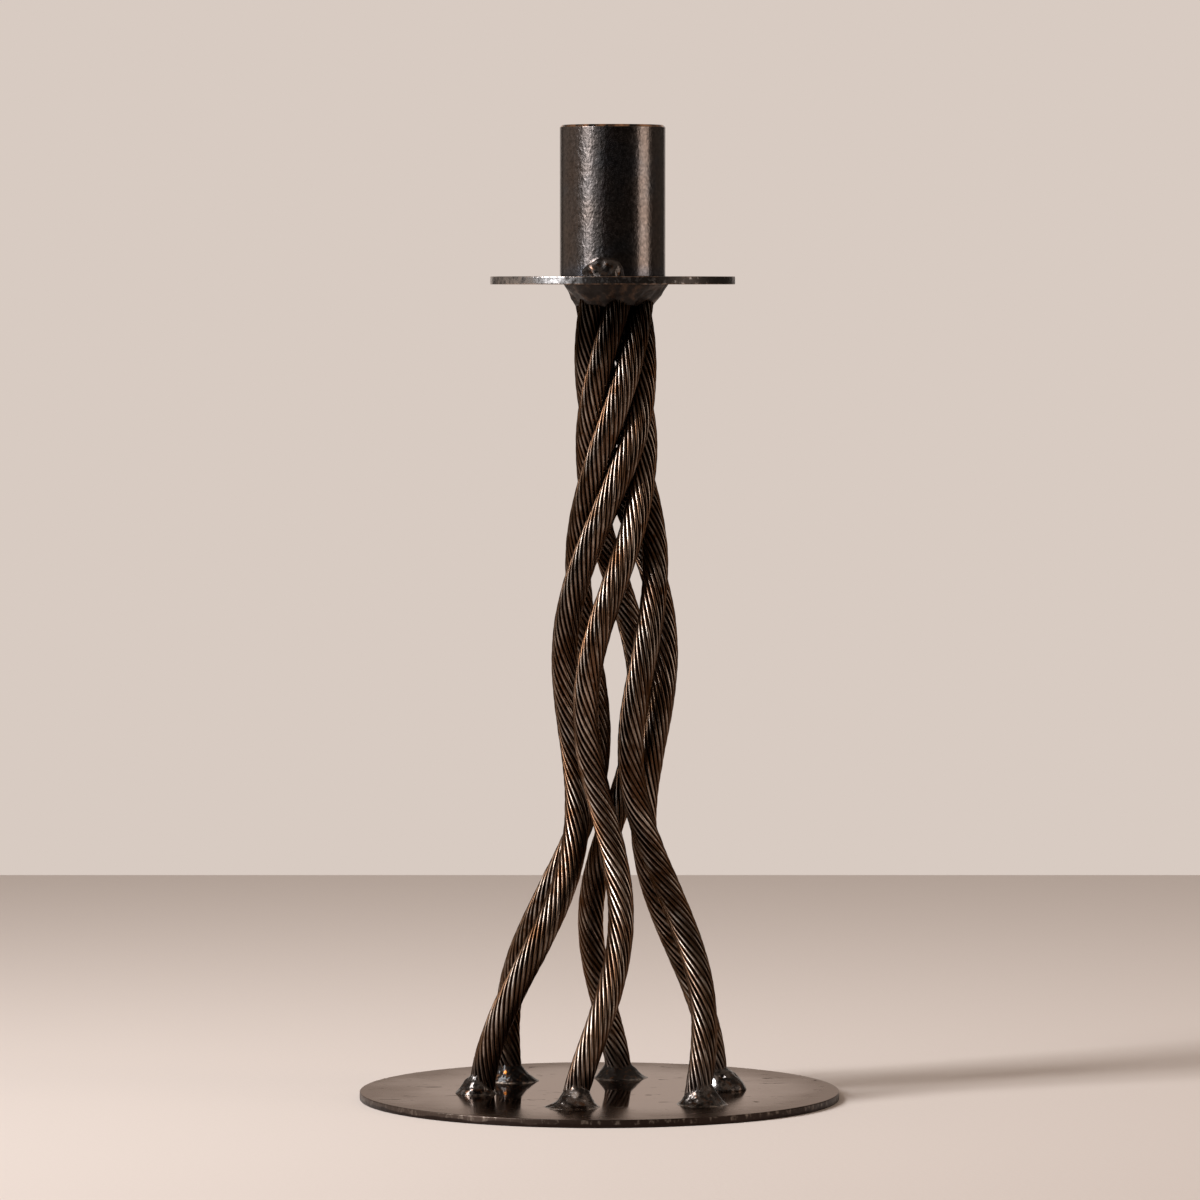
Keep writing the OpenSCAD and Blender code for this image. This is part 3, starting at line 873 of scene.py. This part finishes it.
class CANDLESTICK_OT_foot_welds(bpy.types.Operator):
    """Build up a weld round each strand's foot"""

    bl_idname = "candlestick.foot_welds"
    bl_label = "Foot welds"

    def execute(self, context):
        sizes = context.scene.candlestick_weld
        material = glossy_weld(context.scene.candlestick_finish)
        for number, (node, strand, form) in enumerate(zip(FOOT_WELDS, STRANDS, WELD_FORMS)):
            dress(foot_weld(node, strand, form, sizes, number), "weld_metal", node, material)
        return {"FINISHED"}


# The top weld's points round each ring, and its rings
TOP_ROUND, TOP_UP = 180, 22
# How far the weld fills the valleys between the strands, as a share of the way out to their crowns
VALLEY_FILL = 0.86
# A sum of the strands' reaches at a high power follows the one that reaches furthest, without a crease
SOFT_POWER = 6
# Its hidden end's share of its radius, how far its upper edge strays from round, as a share, and in how quick
# a wave the edge and the drips run round it
TOP_NARROW, TOP_STRAY, TOP_WAVE, DRIP_WAVE = 0.97, 0.02, 3, 2.2
# Size and height of its lumps, and how far its cone bellies out
TOP_LUMP_SIZE, TOP_LUMP, TOP_BELLY = 3.5 * MM, 0.4 * MM, 0.1 * MM
# How far its lower end is sunk into the strands, and how far it runs down past its CAD node there, unseen
TOP_SUNK, TOP_RUN_ON = 0.5 * MM, 0.4 * MM


def bundle_reach(out, head, strand_r):
    """How far a strand reaches from the bundle's middle in a direction, or 0 where it misses it."""
    along = head.x * out.x + head.y * out.y
    across = abs(head.x * out.y - head.y * out.x)
    if along <= 0 or across >= strand_r:
        return 0
    return along + math.sqrt(strand_r**2 - across**2)


def top_weld(node, strand_r, sizes):
    """A lumpy cone of weld metal from the pan down onto the closed rope, dripping between the strands."""
    low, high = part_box(node)
    wide_r = width(node) / 2
    heads = [strand_path(strand)[-2] for strand in STRANDS]
    centre = sum(heads, Vector()) / len(heads)
    valley = VALLEY_FILL * ((heads[0] - centre).length + strand_r)
    seat = Vector((*middle(node), high.z))
    rings = [circle(*middle(node), high.z + WELD_SUNK, wide_r * TOP_NARROW, TOP_ROUND)]
    for j in range(TOP_UP + 1):
        u = j / TOP_UP
        ring = []
        for i in range(TOP_ROUND):
            out = heading(TURN * i / TOP_ROUND)
            reaches = [bundle_reach(out, head - centre, strand_r) for head in heads]
            reach = max(valley, sum(reach**SOFT_POWER for reach in reaches) ** (1 / SOFT_POWER))
            drip = sizes.drip * noise.noise(out * DRIP_WAVE + Vector((4, 1, 7)))
            start = seat + out * wide_r * (1 + TOP_STRAY * noise.noise(out * TOP_WAVE))
            end = Vector((centre.x, centre.y, low.z - TOP_RUN_ON + drip)) + out * (reach - TOP_SUNK)
            place = start.lerp(end, u)
            lump = noise.fractal(place / TOP_LUMP_SIZE + Vector((1, 2, 3)), *LUMPY)
            ring.append(place + out * (math.sin(math.pi * u) * (TOP_LUMP * lump + TOP_BELLY)))
        rings.append(ring)
    return skin(node + "_metal", rings[::-1])


class CANDLESTICK_OT_top_weld(bpy.types.Operator):
    """Run the conical weld round the closed rope under the drip pan"""

    bl_idname = "candlestick.top_weld"
    bl_label = "Top weld"

    def execute(self, context):
        scene = context.scene
        piece = top_weld("top_weld", scene.candlestick_rope.strand_d / 2, scene.candlestick_weld)
        dress(piece, "scaled_weld", "top_weld", scaled_weld(scene.candlestick_finish))
        return {"FINISHED"}


# Points round the plate, the pan and the cup
PLATE_ROUND, PAN_ROUND, CUP_ROUND = 256, 192, 192
# A face of a sheet belongs to its edge where its normal rises by less than this
UPRIGHT = 0.6


def round_sheet(node, diameter, edge, points):
    """A round sheet with rounded edges, as thick as its CAD node."""
    low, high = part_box(node)
    r, x, y = diameter / 2, *middle(node)
    inner = 0.5 * r
    outline = rounded([(inner, low.z), (r, low.z), (r, high.z), (inner, high.z)], edge)
    corner = len(outline) // 4
    rings = [circle(x, y, p.y, p.x, points) for p in outline[corner : 3 * corner]]
    ends = [circle(x, y, z, inner, points) for z in (low.z, high.z)]
    return skin(node + "_sheet", [ends[0], *rings, ends[1]])


def dress_sheet(piece, slot, node, face, edge):
    """Dresses a round sheet in one material, and the upright faces of its edge in another."""
    dress(piece, slot, node, face, edge)
    for polygon in piece.data.polygons:
        if abs(polygon.normal.z) < UPRIGHT:
            polygon.material_index = 1


class CANDLESTICK_OT_base_plate(bpy.types.Operator):
    """Cut the round base plate"""

    bl_idname = "candlestick.base_plate"
    bl_label = "Base plate"

    def execute(self, context):
        sizes, finish = context.scene.candlestick_sheet, context.scene.candlestick_finish
        piece = round_sheet("base_plate", sizes.plate_d, sizes.edge, PLATE_ROUND)
        dress_sheet(piece, "plate_steel", "base_plate", rolled_sheet(finish), cut_edge(finish))
        return {"FINISHED"}


class CANDLESTICK_OT_drip_pan(bpy.types.Operator):
    """Cut the round drip pan"""

    bl_idname = "candlestick.drip_pan"
    bl_label = "Drip pan"

    def execute(self, context):
        sizes, finish = context.scene.candlestick_sheet, context.scene.candlestick_finish
        piece = round_sheet("drip_pan", sizes.pan_d, sizes.edge, PAN_ROUND)
        dress_sheet(piece, "pan_steel", "drip_pan", blackened_pan(finish), scaled_pan_edge(finish))
        return {"FINISHED"}


class CANDLESTICK_OT_candle_cup(bpy.types.Operator):
    """Turn the candle cup from tube, with its rim chamfered"""

    bl_idname = "candlestick.candle_cup"
    bl_label = "Candle cup"

    def execute(self, context):
        sizes = context.scene.candlestick_cup
        low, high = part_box("candle_cup")
        r = sizes.cup_d / 2
        bore = r - sizes.wall
        rim = [(r, high.z - sizes.chamfer), (r - sizes.chamfer, high.z), (bore, high.z)]
        outline = rounded([(bore, low.z), (r, low.z), *rim], sizes.edge)
        rings = [circle(*middle("candle_cup"), p.y, p.x, CUP_ROUND) for p in outline]
        piece = skin("candle_cup_tube", rings, looped=True)
        dress(piece, "cup_steel", "candle_cup", blackened_tube(context.scene.candlestick_finish))
        return {"FINISHED"}


# A tack weld's points round each ring, and its rings
TACK_ROUND, TACK_UP = 64, 20
# Half its width along the cup, its reach over the pan, and how many times as high as its CAD node it stands
TACK_HALF_WIDTH, TACK_REACH, TACK_RISE = 5.1 * MM, 3.7 * MM, 1.35
# How full its back is, where 1 is a ball's and less is fuller
TACK_FULL = 0.75
# How deep it is sunk into the cup and into the pan
TACK_IN_CUP, TACK_IN_PAN = 0.5 * MM, 0.4 * MM
# Size of its lumps, their height as a share of its own size, and their fractal noise
TACK_LUMP_SIZE, TACK_LUMP, TACK_LUMPY = 3.2 * MM, 0.16, (0.9, 2.0, 2)
# A painted highlight at its upper left: where it sits along the cup, out from it and up, and its radius
TACK_HIGHLIGHT, TACK_HIGHLIGHT_R = (-3.0 * MM, 1.4 * MM, 3.3 * MM), 0.8 * MM
# How sooty it is
TACK_SOOT = 0.5


def tack(node, seed):
    """A lump of weld metal in the corner between cup and pan."""
    low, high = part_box(node)
    axis = Vector((*middle("candle_cup"), PAN_TOP))
    out = (Vector((*middle(node), PAN_TOP)) - axis).normalized()
    along = Vector((-out.y, out.x, 0))
    foot = axis + out * (width("candle_cup") / 2 - TACK_IN_CUP)
    rise = TACK_RISE * (high.z - low.z)
    rings = []
    for j in range(TACK_UP):
        tilt = math.pi / 2 * j / TACK_UP
        ring = []
        for i in range(TACK_ROUND):
            way = heading(TURN * i / TACK_ROUND)
            ball = (along * way.x * TACK_HALF_WIDTH + out * way.y * TACK_REACH) * math.cos(tilt)
            ball.z = math.sin(tilt) ** TACK_FULL * rise
            lump = noise.fractal(ball / TACK_LUMP_SIZE + Vector((seed, 0, 0)), *TACK_LUMPY)
            ring.append(foot + ball * (1 + TACK_LUMP * lump))
        rings.append(ring)
    base = [point - Vector((0, 0, TACK_IN_PAN)) for point in rings[0]]
    piece = skin(node + "_metal", [base, *rings])
    # A painted highlight on its upper left
    aside, beyond, up = TACK_HIGHLIGHT
    spot = foot + along * aside + out * beyond + Vector((0, 0, up))
    shine = [min(1.0, max(0.0, 2 - (v.co - spot).length / TACK_HIGHLIGHT_R)) for v in piece.data.vertices]
    mark_points(piece, "painted_highlight", shine)
    mark_points(piece, "soot", [TACK_SOOT] * len(shine))
    return piece


class CANDLESTICK_OT_tacks(bpy.types.Operator):
    """Set the tack welds between cup and pan"""

    bl_idname = "candlestick.tacks"
    bl_label = "Tack welds"

    def execute(self, context):
        material = glossy_weld(context.scene.candlestick_finish)
        for seed, node in ((0, "cup_tack_front"), (11, "cup_tack_rear")):
            dress(tack(node, seed), "weld_metal", node, material)
        return {"FINISHED"}


def soft_box(name, place, aim, size, spread, power, tint):
    """A soft box that faces a point and isn't itself seen by the camera. A grid narrows its light to a spread
    in degrees."""
    lamp = bpy.data.lights.new(name, "AREA")
    lamp.shape = "RECTANGLE"
    lamp.size, lamp.size_y = size
    lamp.spread = math.radians(spread)
    lamp.energy = power
    lamp.color = tint[:3]
    holder = bpy.data.objects.new(name, lamp)
    holder.location = place
    holder.rotation_euler = (Vector(aim) - Vector(place)).to_track_quat("-Z", "Y").to_euler()
    holder.visible_camera = False
    bpy.context.scene.collection.objects.link(holder)


# Where each soft box stands, the point that it faces, its width and height, and the spread of its light
KEY_BOX = ((-0.889, -0.472, 0.774), (0.03, 0.08, 0.12), (0.3, 0.72), 90)
STRIP_BOX = ((1.046, -0.34, 0.25), (0, 0, 0.2), (0.44, 1.0), 180)
FLOOR_SIDES = 8
# Width of the camera's sensor in millimetres
SENSOR = 36


class CANDLESTICK_OT_stage(bpy.types.Operator):
    """Set up the camera, the floor, the surroundings and the lamps"""

    bl_idname = "candlestick.stage"
    bl_label = "Stage"

    def execute(self, context):
        scene = context.scene
        stage, finish = scene.candlestick_stage, scene.candlestick_finish
        camera = bpy.data.objects.new("camera", bpy.data.cameras.new("camera"))
        camera.data.lens, camera.data.sensor_width = stage.lens, SENSOR
        camera.location = stage.camera_place
        camera.rotation_euler = (math.pi / 2 - stage.pitch, 0, 0)
        scene.collection.objects.link(camera)
        scene.camera = camera
        scene.view_settings.view_transform = "Standard"

        # Eight sides, so that its far edge is level from the front, the sides and the back
        mesh = bpy.data.meshes.new("floor")
        corner = Vector((0, -stage.floor_reach / math.cos(math.pi / FLOOR_SIDES), 0))
        turns = [Matrix.Rotation(TURN * (i + 0.5) / FLOOR_SIDES, 3, "Z") for i in range(FLOOR_SIDES)]
        mesh.from_pydata([corner @ turn for turn in reversed(turns)], [], [range(FLOOR_SIDES)])
        mesh.materials.append(pale_floor(finish))
        floor = bpy.data.objects.new("floor", mesh)
        scene.collection.objects.link(floor)

        soft_box("key_soft_box", *KEY_BOX, stage.key, finish.lamp)
        soft_box("strip_soft_box", *STRIP_BOX, stage.strip, finish.strip)
        surroundings(scene, stage, finish)
        return {"FINISHED"}


# Light from round a direction: its azimuth and elevation in degrees, the angles off it between which the
# light fades away, and its strength as a share of its setting
BEHIND = (180, 5, 14, 30, 1.0)
WALLS = (BEHIND, (-108, 4, 14, 42, 0.54), (122, 4, 8, 30, 0.14))
CEILING = (0, 90, 35, 75, 1.0)
SCREENS = ((-56, 8, 2, 14, 1.75), (-35, 8, 2, 13, 0.26))
# The dim light that comes from everywhere else
REST_OF_ROOM = 0.022


def surroundings(scene, stage, finish):
    """A pale wall all round for the camera. Other rays find that wall only behind the candlestick, and a lit
    screen on the left, a pale ceiling, and a dim room on the camera's side."""
    world = bpy.data.worlds.new("studio")
    scene.world = world
    world.use_nodes = True
    tree = world.node_tree
    tree.nodes.clear()
    way = add(tree, "ShaderNodeTexCoord").outputs["Generated"]

    def patch(azimuth, elevation, inner, outer, share, setting=1.0):
        """Light from round one direction."""
        across, up = math.radians(azimuth), math.radians(elevation)
        centre = (math.sin(across) * math.cos(up), -math.cos(across) * math.cos(up), math.sin(up))
        facing = add(tree, "ShaderNodeVectorMath", (way, centre), operation="DOT_PRODUCT")
        fade = [math.cos(math.radians(angle)) for angle in (outer, inner)]
        return add(tree, "ShaderNodeMapRange", (facing, *fade, 0.0, share * setting), **SMOOTH)

    def total(parts, start=0.0):
        """The sum of several lights over an even level."""
        for part in parts:
            start = add(tree, "ShaderNodeMath", (part, start), operation="ADD")
        return start

    walls = [patch(*wall, stage.wall_light) for wall in WALLS]
    room_light = total([*walls, patch(*CEILING, stage.ceiling)], REST_OF_ROOM)
    screen_light = total([patch(*screen, stage.glow) for screen in SCREENS])
    room = add(tree, "ShaderNodeBackground", (finish.room, room_light))
    screens = add(tree, "ShaderNodeBackground", (finish.lamp, screen_light))
    lit = add(tree, "ShaderNodeAddShader", (room, screens))
    # Camera rays see the plain wall everywhere, and so do glossy and transmitted rays that leave behind the
    # object
    ray = add(tree, "ShaderNodeLightPath").outputs
    mirrored = total((ray["Is Glossy Ray"], ray["Is Transmission Ray"]))
    beyond = add(tree, "ShaderNodeMath", (mirrored, patch(*BEHIND)), operation="MULTIPLY")
    seen = add(tree, "ShaderNodeMath", (ray["Is Camera Ray"], beyond), operation="MAXIMUM")
    plain = add(tree, "ShaderNodeBackground", (finish.wall,))
    either = add(tree, "ShaderNodeMixShader", (seen, lit, plain))
    add(tree, "ShaderNodeOutputWorld", (either,))


class CANDLESTICK_PT_sidebar(bpy.types.Panel):
    """Lists the candlestick's sizes, colours and pieces"""

    bl_label = "Twisted candlestick"
    bl_space_type = "VIEW_3D"
    bl_region_type = "UI"
    bl_category = "Candlestick"

    def draw(self, context):
        for name, group in SETTINGS.items():
            box = self.layout.box()
            box.label(text=group.__doc__)
            settings = getattr(context.scene, name)
            for field in group.__annotations__:
                box.prop(settings, field)
        for operator in PIECES:
            self.layout.operator(operator.bl_idname)


SETTINGS = {
    "candlestick_rope": RopeSizes,
    "candlestick_weld": WeldSizes,
    "candlestick_sheet": SheetSizes,
    "candlestick_cup": CupSizes,
    "candlestick_finish": Finish,
    "candlestick_stage": StageSettings,
}
PIECES = [
    CANDLESTICK_OT_stage,
    CANDLESTICK_OT_base_plate,
    CANDLESTICK_OT_strands,
    CANDLESTICK_OT_foot_welds,
    CANDLESTICK_OT_top_weld,
    CANDLESTICK_OT_drip_pan,
    CANDLESTICK_OT_candle_cup,
    CANDLESTICK_OT_tacks,
]


def register():
    for entry in (*SETTINGS.values(), *PIECES, CANDLESTICK_PT_sidebar):
        bpy.utils.register_class(entry)
    for name, group in SETTINGS.items():
        setattr(bpy.types.Scene, name, bpy.props.PointerProperty(type=group))


def unregister():
    for name in SETTINGS:
        delattr(bpy.types.Scene, name)
    for entry in (CANDLESTICK_PT_sidebar, *reversed(PIECES), *reversed(SETTINGS.values())):
        bpy.utils.unregister_class(entry)


def main():
    register()
    bpy.ops.candlestick.stage()
    bpy.ops.candlestick.base_plate()
    bpy.ops.candlestick.strands()
    bpy.ops.candlestick.foot_welds()
    bpy.ops.candlestick.top_weld()
    bpy.ops.candlestick.drip_pan()
    bpy.ops.candlestick.candle_cup()
    bpy.ops.candlestick.tacks()


if __name__ == "__main__":
    main()
